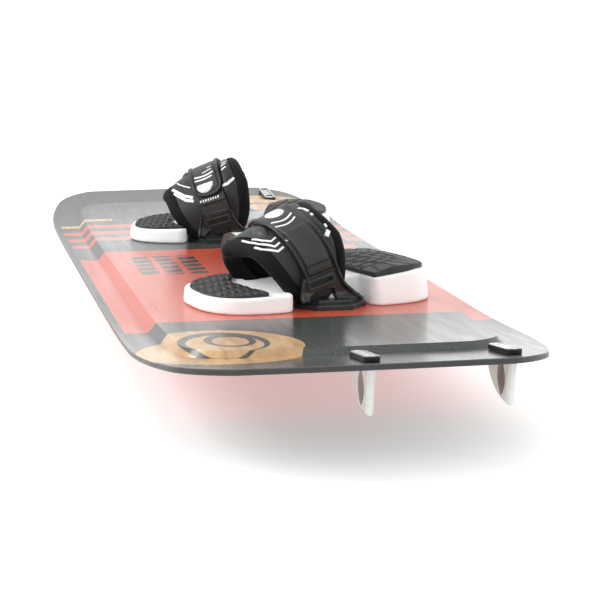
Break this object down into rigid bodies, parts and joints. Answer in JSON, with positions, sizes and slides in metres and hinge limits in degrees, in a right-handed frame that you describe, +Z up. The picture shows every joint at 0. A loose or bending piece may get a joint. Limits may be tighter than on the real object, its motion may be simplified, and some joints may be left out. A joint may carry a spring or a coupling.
{
  "type": "kite board",
  "caption": "Twin-tip kite board with adjustable padded foot straps on moulded foot pads, screwed-on fins and a centre grab handle.",
  "frame": {"origin": "middle of the plan, at the level of the fin tips the board stands on", "axes": "+X along the board to the far tip, +Y to the toe edge, +Z up"},
  "size_m": [1.368, 0.415, 0.1488],
  "materials": {
    "deck_sheet": "printed, clear coated",
    "core_wood": "raw paulownia",
    "base_sheet": "satin",
    "rail_plastic": "satin",
    "steel": "satin",
    "fin_plate": "satin anodised",
    "fin_glass": "polished glass laminate",
    "handle_rubber": "matt",
    "handle_pad": "matt",
    "white_foam": "matt",
    "black_foam": "textured",
    "black_plastic": "satin",
    "collar_fabric": "lycra over foam",
    "liner_fabric": "brushed knit over foam",
    "shell_fabric": "coated weave",
    "band_leather": "satin synthetic",
    "badge_white": "moulded"
  },
  "bodies": {
    "root": {"base_plate_inboard_far": "black_plastic", "base_plate_inboard_near": "black_plastic", "base_plate_outboard_far": "black_plastic", "base_plate_outboard_near": "black_plastic", "base_sheet": "base_sheet", "binding_inserts": "steel", "binding_screws_far": "steel", "binding_screws_near": "steel", "binding_washers_far": "steel", "binding_washers_near": "steel", "bracket_inboard_far": "black_plastic", "bracket_inboard_near": "black_plastic", "bracket_outboard_far": "black_plastic", "bracket_outboard_near": "black_plastic", "clamp_plate_inboard_far": "black_plastic", "clamp_plate_inboard_near": "black_plastic", "clamp_plate_outboard_far": "black_plastic", "clamp_plate_outboard_near": "black_plastic", "collar_heel_far": "collar_fabric", "collar_heel_near": "collar_fabric", "collar_toe_far": "collar_fabric", "collar_toe_near": "collar_fabric", "fin_far_centre": "fin_glass", "fin_far_heel": "fin_glass", "fin_near_centre": "fin_glass", "fin_near_heel": "fin_glass", "fin_plate_far_centre": "fin_plate", "fin_plate_far_heel": "fin_plate", "fin_plate_near_centre": "fin_plate", "fin_plate_near_heel": "fin_plate", "fin_screws": "steel", "handle_grip": "handle_rubber", "handle_inserts": "steel", "handle_screws": "steel", "handle_top_pad": "handle_pad", "handle_washers": "steel", "pad_base_far": "white_foam", "pad_base_near": "white_foam", "pad_heel_top_far": "black_foam", "pad_heel_top_near": "black_foam", "pad_toe_top_far": "black_foam", "pad_toe_top_near": "black_foam", "rail_strip": "rail_plastic", "spare_inserts": "steel", "strap_band_far": "band_leather", "strap_band_near": "band_leather", "strap_liner_far": "liner_fabric", "strap_liner_near": "liner_fabric", "strap_shell_far": "shell_fabric", "strap_shell_near": "shell_fabric", "top_sheet": "deck_sheet", "wood_core": "core_wood"},
    "flap_near": {"flap_badge_near": "badge_white", "strap_flap_near": "band_leather"},
    "flap_far": {"flap_badge_far": "badge_white", "strap_flap_far": "band_leather"}
  },
  "joints": [
    {"name": "strap_flap_hinge_far", "type": "hinge", "parent": "root", "child": "flap_far", "pos_m": [0.25231, 0.01731, 0.14286], "axis": [0.225, 0.937, -0.2672], "range_deg": [0, 110]},
    {"name": "strap_flap_hinge_near", "type": "hinge", "parent": "root", "child": "flap_near", "pos_m": [-0.25231, 0.01731, 0.14286], "axis": [0.225, -0.937, 0.2672], "range_deg": [0, 110]}
  ]
}
